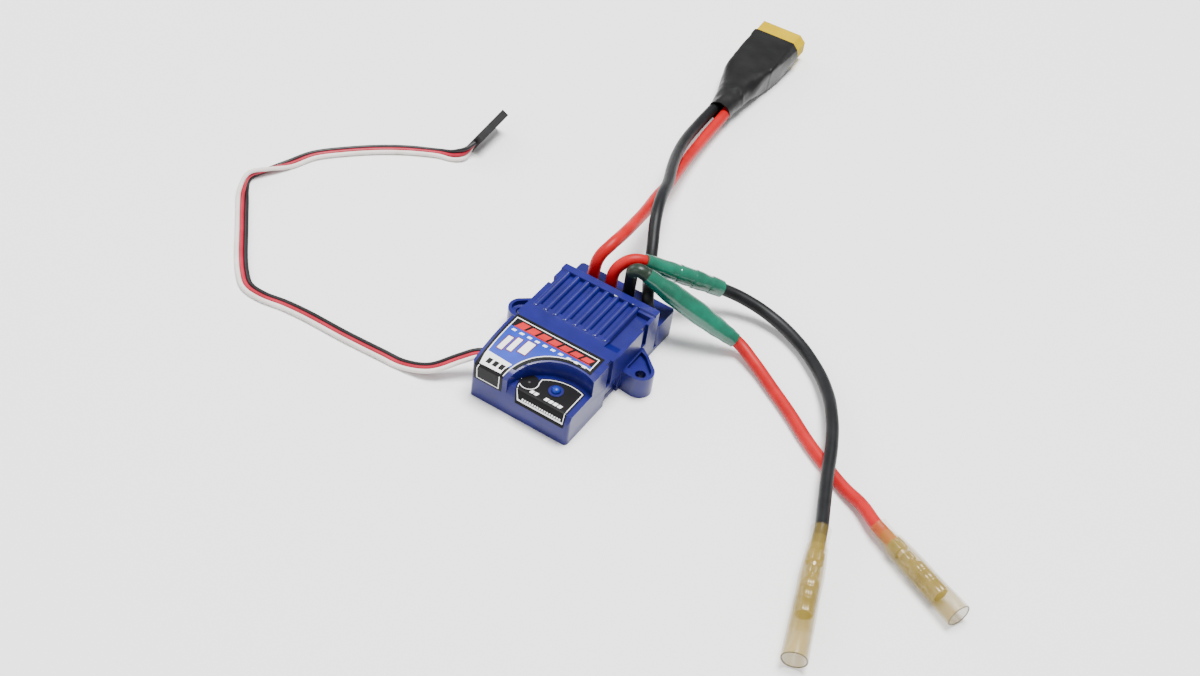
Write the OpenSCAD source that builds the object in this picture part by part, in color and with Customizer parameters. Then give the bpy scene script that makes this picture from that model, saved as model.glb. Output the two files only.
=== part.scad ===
// Waterproof speed controller for a brushed model-car motor: moulded case on a base tray,
// circuit board and power stage inside, two battery leads, two motor leads and a signal lead.
// Everything is drawn from the button end of the case and then centred by place().

/* [Case] */
// Width of the case, side to side
case_w = 31.2; // [31.2:0.1:32]
// Length of the case, from the button end to the lead end
case_l = 55.4; // [55.4:0.1:57]
// Height of the case over the label and the rear bar
case_h = 15.5; // [15.5:0.1:16]
// Thickness of the moulded walls
wall = 1.6; // [1.4:0.1:1.8]
// Height of the low block that the leads come out of
block_h = 9; // [9:0.1:9.6]

/* [Cooling ribs] */
// Number of ribs on the roof
rib_count = 8; // [4:1:8]
// Distance between ribs
rib_pitch = 3.22; // [3:0.01:3.22]
// Radius of each rib's round top
rib_r = 1.0; // [0.8:0.05:1.1]

/* [Mounting ears] */
// Distance between the two screw holes
ear_span = 39.4; // [39:0.1:40]
// Diameter of the screw holes
ear_hole_d = 3.0; // [2.6:0.1:3.2]
// Outer radius of an ear
ear_r = 3.8; // [3.6:0.1:4]

/* [Button and light] */
// Diameter of the button's dome
button_d = 2.5; // [2.2:0.1:2.8]
// Radius of the curved recess around the button
recess_r = 13.8; // [13.4:0.1:14]

/* [Leads] */
// Outside diameter of the battery and motor leads
lead_d = 3.5; // [3.2:0.1:3.5]
// Outside diameter of the extension leads
extension_d = 3.6; // [3.4:0.1:3.6]
// Width of the three-wire signal ribbon
ribbon_w = 3.9; // [3.6:0.1:3.9]

/* [Hidden] */
$fn = 48;

half_w = case_w / 2;
cover_l = 46;                 // the cover ends here and the lead block begins
tray_t = 1.5;                 // tray floor, and where the cover's walls stand
dome_r = 43.4;                // radius of the roof's front curve
dome_y = 16;                  // where that curve reaches full height
roof_z = 14.9;                // flat roof around the ribs
roof_in = 12.2;               // underside of the flat roof
recess_c = [9.5, -1.2];       // centre of the curved recess
recess_z = 10;                // recess floor
label_t = 0.14;
board_z = 3.4;
board_t = 1.6;
board_top = board_z + board_t;
button_c = [7.1, 6.6];
light_c = [-0.4, 5.1];
rib_x0 = -13.3;
rib_y = [26.8, 43.4];
ear_y = 30.5;
ear_h = 7;
screw_at = [[-11.4, 4.4], [11.4, 4.4], [-11.4, 42], [11.4, 42]];
lead_x = [-8.7, -2.8, 3.0, 9.4];
lead_y = 49.9;
seal_top = 9.6;
gap = 0.05;                   // clearance between pieces that are fixed together

// Routes of the free leads
battery_red_route = [[-8.7, 49.9, 5.6], [-8.7, 49.9, 14], [-8.2, 51, 18.5], [-7, 54.5, 21], [-7, 61, 20.5],
    [-8, 69, 18.5], [-9.5, 79, 16], [-11.5, 89, 13.5], [-13, 98, 11], [-15, 108, 8.5], [-17, 118, 6.5],
    [-18.5, 128, 5], [-19.5, 138, 4.5], [-20, 147.7, 4.6]];
battery_black_route = [[9.4, 49.9, 5.6], [9.4, 49.9, 11], [9, 50.3, 12.6], [7.8, 52.2, 13.6],
    [6.2, 55, 13.7], [4.2, 59, 13.2], [2.8, 61.6, 14], [1.7, 63.6, 15.6], [0, 66.8, 17.5],
    [-2, 70.5, 19], [-3.9, 74.5, 20.6], [-6.4, 81, 21], [-10, 92, 18], [-14.5, 103, 14.5],
    [-18.5, 114, 11], [-21.5, 125, 8], [-23.2, 136, 6], [-24, 147.7, 5.2]];
tape_front_ends = [[6.5, 50.4, 21.1], [33.5, 59.5, 4.8]];
tape_rear_ends = [[3.5, 56, 19.8], [21.5, 71.5, 8.8]];
extension_red_tail = [[41, 57.5, 2.6], [50, 52.3, 1.9], [59, 46.6, 1.8], [67, 41, 1.8], [75, 36.2, 1.8],
    [83, 31.8, 2], [89.5, 28.8, 2.8]];
extension_black_tail = [[28.5, 74.6, 6.2], [37, 75.3, 4], [46, 72.8, 3], [55, 67.3, 3], [63, 59.5, 3.8],
    [69.3, 50, 5.2], [73.8, 41, 5.6], [78.3, 29.5, 5.8], [82.6, 18.9, 6.4]];
sleeve_left_ends = [[85.6, 11.4, 7], [98.6, -26.8, 3.6]];
sleeve_right_ends = [[96.3, 24.1, 3.6], [126, 10.4, 3.6]];
ribbon_route = [[-15.2, 9, 7.4], [-17.2, 8.8, 7.4], [-19.5, 7.2, 7], [-22.5, 4.2, 5.6], [-28, -1, 2.8],
    [-35.5, -3, 0.9],
    [-43, -3.5, 0.8], [-55, -4.1, 0.8], [-67, -4.2, 0.8], [-75, -4.8, 0.8], [-82, -6, 0.8],
    [-88, -5.4, 0.8], [-93, -1.5, 0.8], [-98, 4, 0.8], [-104.5, 12, 0.8], [-111, 20, 0.8],
    [-115.5, 26, 1.2], [-117.3, 31, 2], [-115.5, 37, 1.4], [-112.5, 44, 0.8], [-109.5, 52, 0.8],
    [-103, 60, 0.8], [-96, 67, 0.8], [-89, 72.5, 0.8], [-81.5, 77, 0.8], [-77, 78.4, 1.3],
    [-74, 80.4, 2.6], [-73.5, 84.1, 3.8]];
// Degrees that the ribbon has turned about its own length at each point: half a turn at the far corner,
// and then up to the plug, which lies on its narrow edge
ribbon_turn = concat([for (i = [0:15]) 0], [45, 90, 135], [for (i = [19:24]) 180], [210, 255, 300]);
boot_ends = [[-22, 148, 5], [-24.6, 191, 5]];
connector_l = 11;
connector_in = 4.3;
plug_ends = [[-73.4, 84.6, 3.9], [-74.2, 99.6, 4.6]];

function lerp(a, b, t) = a + (b - a) * t;
function unit(v) = v / norm(v);

// Height of the roof at a distance y from the button end
function roof_at(y) = y < dome_y ? case_h - dome_r + sqrt(pow(dome_r, 2) - pow(dome_y - y, 2))
    : y < 20.5 ? case_h : roof_z;

function tangent(p, i) = i == 0 ? unit(p[1] - p[0])
    : i == len(p) - 1 ? unit(p[i] - p[i - 1]) : unit(unit(p[i] - p[i - 1]) + unit(p[i + 1] - p[i]));

// One ring of eight points around route point i; side is a direction that the route never follows
function ring(p, i, side, half_a, half_b, turn) =
    let (t = tangent(p, i), u = unit(cross(t, side)), v = cross(t, u))
    [for (k = [0:7]) let (a = 22.5 + 45 * k, x = half_a * cos(a), y = half_b * sin(a))
        p[i] + (x * cos(turn) - y * sin(turn)) * u + (x * sin(turn) + y * cos(turn)) * v];

// A tube with eight sides swept along a route
module tube(p, side, half_a, half_b, turns = []) {
    n = len(p);
    points = [for (i = [0:n - 1]) each ring(p, i, side, half_a, half_b, len(turns) > 0 ? turns[i] : 0)];
    sides = [for (i = [0:n - 2], k = [0:7]) let (j = (k + 1) % 8)
        each [[8 * i + k, 8 * i + j, 8 * i + 8 + j], [8 * i + k, 8 * i + 8 + j, 8 * i + 8 + k]]];
    ends = [[for (k = [7:-1:0]) k], [for (k = [0:7]) 8 * (n - 1) + k]];
    polyhedron(points, concat(sides, ends), convexity = 6);
}

// Centres everything on the middle of the case
module place() translate([0, -case_l / 2, 0]) children();

// Stands children, drawn along +Z, on the line from a to b
module along(a, b) {
    d = b - a;
    translate(a) rotate([0, acos(d.z / norm(d)), atan2(d.y, d.x)]) children();
}

// A plan view with round corners
module rounded_plan(x0, x1, y0, y1, r) {
    translate([x0 + r, y0]) square([x1 - x0 - 2 * r, y1 - y0]);
    translate([x0, y0 + r]) square([x1 - x0, y1 - y0 - 2 * r]);
    for (x = [x0 + r, x1 - r], y = [y0 + r, y1 - r]) translate([x, y]) circle(r);
}

// Extrudes a side view, drawn as [y, z] points, across the width from x0 to x1
module across(points, x0, x1) translate([x0, 0, 0]) rotate([90, 0, 90]) linear_extrude(x1 - x0) polygon(points);

function dome_points(drop, y0) = [for (i = [0:8]) let (y = lerp(y0, dome_y, i / 8)) [y, roof_at(y) - drop]];

// Outline of the cover from the side, raised by rise
function roof_outline(rise) = concat([[-rise, 0], [-rise, 12.1]], dome_points(-rise, 0.5),
    [[20.5, case_h + rise], [26, roof_z + rise], [43, roof_z + rise], [43.3, case_h + rise],
    [45.6, case_h + rise], [cover_l + rise, case_h - 0.4], [cover_l + rise, 0]]);

// Side view of the recess: a floor that turns down over the front edge
recess_outline = [[-1, 20], [-1, 6.3], [0, 7.3], [1.3, recess_z], [30, recess_z], [30, 20]];

module box_at(x0, x1, y0, y1, z0, z1) translate([x0, y0, z0]) cube([x1 - x0, y1 - y0, z1 - z0]);

// ---- Case ----

module ear_solid(side) {
    cx = side * ear_span / 2;
    translate([cx, ear_y, 0]) cylinder(r = ear_r, h = ear_h);
    linear_extrude(ear_h) polygon([[side * (half_w - 0.6), ear_y - 3.4], [cx - side * 0.6, ear_y - ear_r + 0.05],
        [cx + side * 2.6, ear_y + 2.77], [cx - side * 1.2, ear_y + 6], [side * (half_w - 0.6), ear_y + 8.4]]);
}

module ear_cut(side) {
    cx = side * ear_span / 2;
    translate([cx, ear_y, -1]) cylinder(d = ear_hole_d, h = 10);
    translate([cx, ear_y, 5.5]) cylinder(r = 2.8, h = 5);
    translate([0, 0, 5.5]) linear_extrude(5) polygon([[cx - side * 2, ear_y - 1.95], [cx + side * 2, ear_y + 1.95],
        [cx - side * 1.6, ear_y + 5.4], [side * (half_w + 0.4), ear_y + 6.4], [side * (half_w + 0.4), ear_y - 1.2]]);
}

module ribs() {
    for (i = [0:rib_count - 1]) translate([rib_x0 + i * rib_pitch, 0, 0]) {
        box_at(-rib_r, rib_r, rib_y[0], rib_y[1], 13, 14.3);
        translate([0, rib_y[0], 14.3]) rotate([-90, 0, 0]) cylinder(r = rib_r, h = rib_y[1] - rib_y[0]);
        translate([0, rib_y[0], 13]) cylinder(r = rib_r, h = 1.3);
        translate([0, rib_y[0], 14.3]) sphere(rib_r);
    }
}

module cover_shell() {
    difference() {
        intersection() {
            linear_extrude(20) rounded_plan(-half_w, half_w, 0, cover_l, 1.1);
            across(roof_outline(0), -half_w, half_w);
            box_at(-half_w, half_w, 0, cover_l, tray_t, 20);
        }
        // inside
        intersection() {
            box_at(-half_w + wall, half_w - wall, wall, cover_l - wall, 0, 20);
            across(concat([[0, 0], [0, 10.6]], dome_points(1.8, 0.5), [[20, case_h - 1.8], [24, roof_in],
                [cover_l, roof_in], [cover_l, 0]]), -half_w, half_w);
        }
    }
}

module recess_pan() {
    intersection() {
        translate([recess_c.x, recess_c.y, 8.4]) cylinder(r = recess_r + 1.5, h = 10, $fn = 96);
        linear_extrude(20) rounded_plan(-half_w, half_w, 0, cover_l, 1.1);
        across(roof_outline(0), -half_w, half_w);
    }
}

// The right front boss stops at the recess pan and the others reach the roof
module screw_bosses() for (p = screw_at)
    translate([p.x, p.y, board_top + gap]) cylinder(d = 4.2, h = (p == screw_at[1] ? 9.2 : 12.6) - board_top);

module side_grooves() for (s = [-1, 1]) {
    inner = half_w - 0.9;
    for (g = [[36.6, 39.4, 7.6, 20], [18.6, 20.9, 7.0, 20], [18.6, 25.8, 1, 6.2]])
        box_at(min(s * inner, s * 20), max(s * inner, s * 20), g[0], g[1], g[2], g[3]);
}

module upper_housing() place() color([0.13, 0.2, 0.72]) difference() {
    union() {
        difference() {
            union() {
                cover_shell();
                recess_pan();
                screw_bosses();
            }
            // sunken field between the ribs, and the pocket beside the last rib
            box_at(rib_x0, 10.3, 27.8, 43.2, 14.2, 20);
            across([[24.5, 14.9], [28, 13.4], [42.2, 13.4], [42.2, 20], [24.5, 20]], 10.3, 14.5);
        }
        ribs();
        for (s = [-1, 1]) ear_solid(s);
        // raised ring around the button
        translate([button_c.x, button_c.y, recess_z - 0.5]) cylinder(d = 4.2, h = 0.9);
    }
    // curved recess
    intersection() {
        difference() {
            translate([recess_c.x, recess_c.y, 5]) cylinder(r = recess_r, h = 20, $fn = 96);
            translate([button_c.x, button_c.y, 5]) cylinder(d = 4.2, h = recess_z + 0.4 - 5);
        }
        across(recess_outline, -half_w - 1, half_w + 1);
    }
    for (s = [-1, 1]) ear_cut(s);
    side_grooves();
    // groove for the gasket
    translate([0, 0, tray_t - 1]) linear_extrude(1.5) gasket_plan(0);
    // opening for the board into the lead block
    box_at(-13.5, 13.5, cover_l - wall - 1, cover_l + 1, 2.8, 7.3);
    // button guide, light window, screw pilots, signal lead
    translate([button_c.x, button_c.y, 5]) cylinder(d = button_d + 0.16, h = 10);
    translate([light_c.x, light_c.y, 5]) cylinder(d = 4.2, h = 10);
    for (p = screw_at) translate([p.x, p.y, 2]) cylinder(d = 2.1, h = 6.6);
    box_at(-20, -13, 6.8, 11.2, 6.2, 8.6);
}

module gasket_plan(slack) difference() {
    rounded_plan(-half_w + 0.4 + slack, half_w - 0.4 - slack, 0.4 + slack, cover_l - 0.4 - slack, 0.9);
    rounded_plan(-half_w + 1.2 - slack, half_w - 1.2 + slack, 1.2 - slack, cover_l - 1.2 + slack, 0.5);
}

module housing_gasket() place() color([0.1, 0.1, 0.11])
    translate([0, 0, tray_t + 0.01]) difference() {
        linear_extrude(0.47) gasket_plan(0.03);
        for (s = [-1, 1]) box_at(min(s * 14.6, s * 20), max(s * 14.6, s * 20), 18.5, 25.9, -1, 1);
    }

module base_tray() place() color([0.12, 0.18, 0.66]) difference() {
    union() {
        linear_extrude(tray_t) rounded_plan(-half_w, half_w, 0, case_l, 1.1);
        difference() {
            linear_extrude(block_h) rounded_plan(-half_w, half_w, cover_l + gap, case_l, 1.1);
            box_at(-half_w - 1, half_w + 1, 40, cover_l + gap, tray_t, 20);
            box_at(-half_w + wall, half_w - wall, 40, case_l - wall, tray_t, 7.5);
        }
        // posts that carry the board
        for (p = screw_at) translate([p.x, p.y, 0]) cylinder(d = 4.6, h = board_z);
        for (s = [-1, 1]) translate([s * 11.4, 51.6, 0]) cylinder(d = 3, h = board_z);
    }
    for (p = screw_at) translate([p.x, p.y, -1]) {
        cylinder(d = 2.3, h = 10);
        cylinder(d = 3.9, h = 2.2);
    }
    // slot for the wire seal
    translate([0, 0, 5]) linear_extrude(10) rounded_plan(-12, 12.7, 47.4, 52.4, 2.4);
    for (s = [-1, 1]) {
        box_at(min(s * 14.7, s * 20), max(s * 14.7, s * 20), 18.6, 25.8, -1, 3);
        translate([s * ear_span / 2, ear_y, -1]) cylinder(r = ear_r + gap, h = 5);
    }
    box_at(-20, -half_w + 0.6 - gap, ear_y - 4, ear_y + 9, -1, 5);
    box_at(half_w - 0.6 + gap, 20, ear_y - 4, ear_y + 9, -1, 5);
}

module wire_seal() place() color([0.09, 0.1, 0.2]) difference() {
    union() {
        translate([0, 0, 7.5]) linear_extrude(seal_top - 7.9)
            rounded_plan(-12 + gap, 12.7 - gap, 47.4 + gap, 52.4 - gap, 2.3);
        for (x = lead_x) translate([x, lead_y, 7.5]) cylinder(d1 = 4.9, d2 = 4.5, h = seal_top - 7.5);
    }
    for (x = lead_x) translate([x, lead_y, 5]) cylinder(d = lead_d, h = 10);
}

module signal_grommet() place() color([0.1, 0.1, 0.11]) difference() {
    union() {
        box_at(-16.4, -half_w - gap, 6.3, 11.7, 5.7, 9.1);
        box_at(-half_w - gap, -13.6, 6.8 + gap, 11.2 - gap, 6.2 + gap, 8.6 - gap);
    }
    box_at(-20, -13, 9 - 2.2, 9 + 2.2, 6.6, 8.2);
}

// ---- Labels ----

module label_sheet(outline) difference() {
    across(outline[0], -half_w + 0.7, half_w - 0.7);
    across(outline[1], -half_w, half_w);
}

module main_label() place() color([0.08, 0.1, 0.25]) difference() {
    intersection() {
        label_sheet([roof_outline(label_t), roof_outline(0.01)]);
        box_at(-14.7, 13.4, -1, 19.9, 7.2, 20);
    }
    translate([recess_c.x, recess_c.y, 0]) cylinder(r = recess_r + 0.6, h = 30, $fn = 96);
    box_at(-5.8, 20, -2, 3.4, 0, 30);
}

module control_label() place() color([0.06, 0.06, 0.07]) difference() {
    intersection() {
        across([[-label_t, 7.35], [1.3, recess_z + label_t], [30, recess_z + label_t], [30, recess_z + 0.01],
            [1.31, recess_z + 0.01], [-0.01, 7.35]], -3.6, 14.4);
        translate([recess_c.x, recess_c.y, 0]) cylinder(r = recess_r - 0.7, h = 30, $fn = 96);
    }
    translate([button_c.x, button_c.y, 5]) cylinder(d = 4.3, h = 10);
    translate([light_c.x, light_c.y, 5]) cylinder(d = 4.3, h = 10);
}

// ---- Button, switch and light ----

module set_button() place() color([0.14, 0.22, 0.8]) translate([button_c.x, button_c.y, 0]) {
    translate([0, 0, 7.4]) cylinder(d = 3.9, h = 0.6);
    translate([0, 0, 8]) cylinder(d = button_d, h = 2.9);
    translate([0, 0, 10.9]) intersection() {
        sphere(d = button_d);
        cylinder(d = button_d, h = 3);
    }
}

module switch_plunger() place() color([0.2, 0.2, 0.2])
    translate([button_c.x, button_c.y, 6.2]) cylinder(d = 1.8, h = 1.2);

module switch_body() place() color([0.16, 0.16, 0.17]) translate([button_c.x, button_c.y, board_top]) difference() {
    box_at(-2.1, 2.1, -2.1, 2.1, 0, 1.7);
    translate([0, 0, 0.6]) cylinder(d = 1.96, h = 3);
}

module light_pipe() place() color([0.2, 0.21, 0.22, 0.8]) translate([light_c.x, light_c.y, 0]) {
    translate([0, 0, 8.6]) cylinder(d = 4.1, h = recess_z + 0.06 - 8.6);
    translate([0, 0, 6.4]) cylinder(d = 2.4, h = 2.3);
}

module status_led() place() color([0.9, 0.88, 0.8])
    translate([light_c.x, light_c.y, board_top]) box_at(-1.6, 1.6, -0.8, 0.8, 0, 1.2);

// ---- Circuit ----

module circuit_board() place() color([0.05, 0.32, 0.16]) difference() {
    box_at(-13, 13, 2.4, 53, board_z, board_top);
    for (p = screw_at) translate([p.x, p.y, 0]) cylinder(d = 2.3, h = 10);
}

// A flat chip with legs along two sides
module chip(w, l, h, legs, pitch, leg_l) {
    box_at(-w / 2, w / 2, -l / 2, l / 2, 0.1, h);
    for (s = [-1, 1], i = [0:legs - 1])
        translate([s * (w / 2 + leg_l / 2), (i - (legs - 1) / 2) * pitch, 0.25])
            cube([leg_l + 0.1, pitch * 0.4, 0.5], center = true);
}

module microcontroller() place() color([0.12, 0.12, 0.13]) translate([-1, 16, board_top]) chip(5, 6.5, 1.2, 10, 0.65, 0.9);

module gate_driver() place() color([0.12, 0.12, 0.13]) translate([7, 15.5, board_top]) chip(3.9, 4.9, 1.5, 4, 1.27, 1);

module power_transistors() place() color([0.13, 0.13, 0.14])
    for (x = [-8.4, 0, 8.4], y = [26, 34.5]) translate([x, y, board_top]) {
        box_at(-3.2, 3.2, -3, 3, 0, 2.3);
        for (dx = [-2.2, 2.2]) box_at(dx - 0.4, dx + 0.4, -4, -2.9, 0, 0.6);
    }

module thermal_pad() place() color([0.6, 0.62, 0.66]) box_at(-12, 12, 22.8, 37.7, board_top + 2.3, board_top + 2.9);

module heat_spreader() place() color([0.75, 0.76, 0.78]) {
    z0 = board_top + 2.9;
    box_at(-12, 12, 22.8, 37.7, z0, z0 + 1.4);
    for (i = [0:6]) box_at(-11.4 + i * 3.6, -10.2 + i * 3.6, 22.8, 37.7, z0 + 1.4, z0 + 3.6);
}

module filter_capacitors() place() color([0.2, 0.22, 0.3])
    for (x = [-11.1, -6.1]) translate([x, 10.9, board_top + 2.5]) rotate([-90, 0, 0]) cylinder(d = 4.8, h = 6.2);

module voltage_regulator() place() color([0.12, 0.12, 0.13]) translate([-9.8, 19.6, board_top]) {
    box_at(-3.2, 2.6, -1.5, 1.5, 0, 1.6);
    for (dx = [-2.3, 0, 2.3]) box_at(dx - 0.7, dx + 0.3, -2.4, -1.4, 0, 0.4);
}

module inductor() place() color([0.25, 0.24, 0.23]) translate([5, 20.4, board_top])
    box_at(-2, 2, -1.4, 1.4, 0, 2.2);

module crystal() place() color([0.78, 0.78, 0.76]) translate([-1, 11, board_top]) box_at(-1.6, 1.6, -0.6, 0.6, 0, 0.8);

module chip_resistors() place() color([0.15, 0.15, 0.16])
    for (p = [[3.1, 12.4], [3.1, 18], [-4.5, 21.3], [1.2, 21.3], [3.8, 5.2], [3.8, 7.4]])
        translate([p.x, p.y, board_top]) box_at(-0.4, 0.4, -0.8, 0.8, 0, 0.5);

module flyback_diode() place() color([0.12, 0.12, 0.13]) translate([0, 42.2, board_top]) {
    box_at(-2.2, 2.2, -1.4, 1.4, 0.1, 2);
    for (s = [-1, 1]) box_at(min(s * 2.1, s * 3), max(s * 2.1, s * 3), -0.8, 0.8, 0, 0.5);
}

module lead_pads() place() color([0.75, 0.75, 0.78])
    for (x = lead_x) translate([x, lead_y, board_top]) cylinder(d1 = 4.6, d2 = 3, h = 0.6);

module signal_header() place() color([0.75, 0.75, 0.78])
    for (y = [7.7, 9, 10.3]) translate([-12.4, y, board_top]) cylinder(d = 1, h = 0.7);

module case_screws() place() color([0.3, 0.3, 0.32]) for (p = screw_at) translate([p.x, p.y, 0]) difference() {
    union() {
        translate([0, 0, 0.1]) cylinder(d = 3.7, h = 1.05);
        cylinder(d = 2, h = 8.4);
    }
    translate([0, 0, -1]) box_at(-0.25, 0.25, -1.3, 1.3, 0, 1.6);
    translate([0, 0, -1]) box_at(-1.3, 1.3, -0.25, 0.25, 0, 1.6);
}

// ---- Battery leads and connector ----

module battery_lead_red() place() color([0.85, 0.1, 0.12])
    tube(battery_red_route, [1, 0, 0], lead_d / 2, lead_d / 2);

module battery_lead_black() place() color([0.06, 0.06, 0.07])
    tube(battery_black_route, [1, 0, 0], lead_d / 2, lead_d / 2);

module boot_skin() hull() {
    translate([-22, 148, 5]) rotate([-90, 0, 4]) cylinder(d = 8.4, h = 0.5, $fn = 32);
    translate([-23.1, 166, 4.9]) rotate([-90, 0, 3.5]) {
        for (x = [-4.4, 1.5]) translate([x, 0, 0]) cylinder(d = 8.8, h = 1, $fn = 32);
    }
    translate(boot_ends[1]) rotate([0, 0, 3.5])
        for (c = [[-7.6, 3.6], [-7.6, -3.6], [5.6, 3.6], [5.6, -3.6], [7.6, 1.7], [7.6, -1.7]])
            translate([c.x, -1.2, c.y]) rotate([-90, 0, 0]) cylinder(d = 1.8, h = 1, $fn = 32);
}

module battery_boot() place() color([0.06, 0.06, 0.06]) difference() {
    boot_skin();
    connector_frame() rotate([-90, 0, 0]) translate([0, 0, -gap]) linear_extrude(connector_l) connector_plan(gap);
}

// The connector sits connector_in deep in the boot
module connector_frame() translate(boot_ends[1]) rotate([0, 0, 3.5]) translate([0, -connector_in, 0]) children();

// Two-pole connector from its mating end, with two corners cut off, g larger all round
module connector_plan(g) polygon([[-7.9 - g, -4 - g], [5.8 + g, -4 - g], [7.9 + g, -1.9 - g], [7.9 + g, 1.9 + g],
    [5.8 + g, 4 + g], [-7.9 - g, 4 + g]]);

module battery_connector() place() color([0.98, 0.75, 0.08]) connector_frame() difference() {
    rotate([-90, 0, 0]) linear_extrude(connector_l) connector_plan(0);
    for (x = [-3.6, 3.6]) translate([x, -1, 0]) rotate([-90, 0, 0]) cylinder(d = 4.5, h = connector_l + 2);
}

module battery_contacts() place() color([0.85, 0.68, 0.3]) connector_frame() for (x = [-3.6, 3.6])
    translate([x, 0.1, 0]) rotate([-90, 0, 0]) difference() {
        cylinder(d = 4.4, h = connector_l - 0.5);
        translate([0, 0, 2]) cylinder(d = 3.5, h = 20);
    }

// ---- Motor leads, splices and extensions ----

function front_point(t) = lerp(tape_front_ends[0], tape_front_ends[1], t);
function rear_point(t) = lerp(tape_rear_ends[0], tape_rear_ends[1], t);
front_splice = [0.5, 0.74];   // where the metal splice lies, as shares of each tape
rear_splice = [0.36, 0.62];

module motor_lead_red() place() color([0.72, 0.12, 0.16])
    tube([[-2.8, 49.9, 5.6], [-2.8, 49.9, 13.5], [-2.5, 50.4, 16.8], [-1.2, 51.8, 19.2], [0.5, 53.4, 20.4],
        rear_point(-0.05), rear_point(rear_splice[0])], [1, -1, 0], lead_d / 2, lead_d / 2);

module motor_lead_black() place() color([0.06, 0.06, 0.07])
    tube([[3, 49.9, 5.6], [3, 49.9, 14], [3.2, 49.5, 18], [3.3, 49.3, 19.8], [3.7, 49.4, 21],
        [4.8, 49.8, 21.6], [6, 50.2, 21.4], front_point(front_splice[0])], [1, -3, 0], lead_d / 2, lead_d / 2);

module tape(ends) {
    l = norm(ends[1] - ends[0]);
    along(ends[0], ends[1]) rotate_extrude() polygon([[1.85, 0], [2.2, 0], [2.7, l * 0.15], [3.1, l * 0.35],
        [3.1, l * 0.6], [2.8, l * 0.8], [2.3, l], [1.85, l]]);
}

module splice_tape_front() place() color([0.05, 0.52, 0.42]) tape(tape_front_ends);

module splice_tape_rear() place() color([0.05, 0.55, 0.45]) tape(tape_rear_ends);

module splice_joint(a, b) along(a, b) translate([0, 0, gap]) cylinder(d = 3.2, h = norm(b - a) - 2 * gap);

module splice_joint_front() place() color([0.72, 0.72, 0.74])
    splice_joint(front_point(front_splice[0]), front_point(front_splice[1]));

module splice_joint_rear() place() color([0.72, 0.72, 0.74])
    splice_joint(rear_point(rear_splice[0]), rear_point(rear_splice[1]));

crimp_at = 0.2;               // where the wire ends, as a share of the sleeve

module extension_red() place() color([0.85, 0.1, 0.12])
    tube(concat([front_point(front_splice[1]), front_point(1.03)], extension_red_tail,
        [sleeve_right_ends[0], lerp(sleeve_right_ends[0], sleeve_right_ends[1], crimp_at)]),
        [0, 0, 1], extension_d / 2, extension_d / 2);

module extension_black() place() color([0.06, 0.06, 0.07])
    tube(concat([rear_point(rear_splice[1]), rear_point(1.03)], extension_black_tail,
        [sleeve_left_ends[0], lerp(sleeve_left_ends[0], sleeve_left_ends[1], crimp_at)]),
        [0, 0, 1], extension_d / 2, extension_d / 2);

module sleeve(ends) {
    l = norm(ends[1] - ends[0]);
    along(ends[0], ends[1]) rotate_extrude() polygon([[1.9, 0], [2.5, 0], [2.6, 6], [3.5, 10], [3.5, l],
        [2.95, l], [2.95, 10], [1.9, 6.4]]);
}

module clear_sleeve_left() place() color([0.85, 0.8, 0.6, 0.5]) sleeve(sleeve_left_ends);

module clear_sleeve_right() place() color([0.85, 0.8, 0.6, 0.5]) sleeve(sleeve_right_ends);

// Crimped bullet receptacle: insulation grip, neck and barrel with an open mouth
module receptacle(ends) {
    start = lerp(ends[0], ends[1], crimp_at);
    along(start, ends[1]) translate([0, 0, gap]) difference() {
        rotate_extrude() polygon([[0, 0], [1.8, 0], [1.8, 4], [1.4, 4.6], [1.4, 7], [2.4, 8.2], [2.4, 19], [0, 19]]);
        translate([0, 0, 9.5]) cylinder(r = 1.95, h = 12);
    }
}

module bullet_receptacle_left() place() color([0.75, 0.73, 0.68]) receptacle(sleeve_left_ends);

module bullet_receptacle_right() place() color([0.75, 0.73, 0.68]) receptacle(sleeve_right_ends);

// ---- Signal lead ----

module signal_ribbon() place() color([0.6, 0.08, 0.1])
    tube(ribbon_route, [0, 0, 1], ribbon_w / 2 / cos(22.5), 0.7, ribbon_turn);

module plug_frame() along(plug_ends[0], plug_ends[1]) rotate([0, 0, 30]) children();

module signal_plug() place() color([0.05, 0.05, 0.05]) plug_frame() difference() {
    l = norm(plug_ends[1] - plug_ends[0]);
    box_at(-3.8, 3.8, -1.25, 1.25, gap, l);
    for (i = [-1:1]) translate([i * 2.54, 0, 0]) box_at(-0.75, 0.75, -0.75, 0.75, 3, l + 1);
}

module signal_contacts() place() color([0.85, 0.68, 0.3]) plug_frame() for (i = [-1:1])
    translate([i * 2.54, 0, 0]) difference() {
        box_at(-0.7, 0.7, -0.7, 0.7, 3.05, 11);
        box_at(-0.4, 0.4, -0.4, 0.4, 4, 12);
    }

upper_housing();
base_tray();
housing_gasket();
wire_seal();
signal_grommet();
main_label();
control_label();
set_button();
switch_plunger();
switch_body();
light_pipe();
status_led();
circuit_board();
microcontroller();
gate_driver();
power_transistors();
thermal_pad();
heat_spreader();
filter_capacitors();
voltage_regulator();
inductor();
crystal();
chip_resistors();
flyback_diode();
lead_pads();
signal_header();
case_screws();
battery_lead_red();
battery_lead_black();
battery_boot();
battery_connector();
battery_contacts();
motor_lead_red();
motor_lead_black();
splice_tape_front();
splice_tape_rear();
splice_joint_front();
splice_joint_rear();
extension_red();
extension_black();
clear_sleeve_left();
clear_sleeve_right();
bullet_receptacle_left();
bullet_receptacle_right();
signal_ribbon();
signal_plug();
signal_contacts();
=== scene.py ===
"""Looks for the speed controller: camera, leads, case, labels, connectors and lights."""
import math

import bmesh
import bpy
from mathutils import Matrix, Vector, noise


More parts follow.
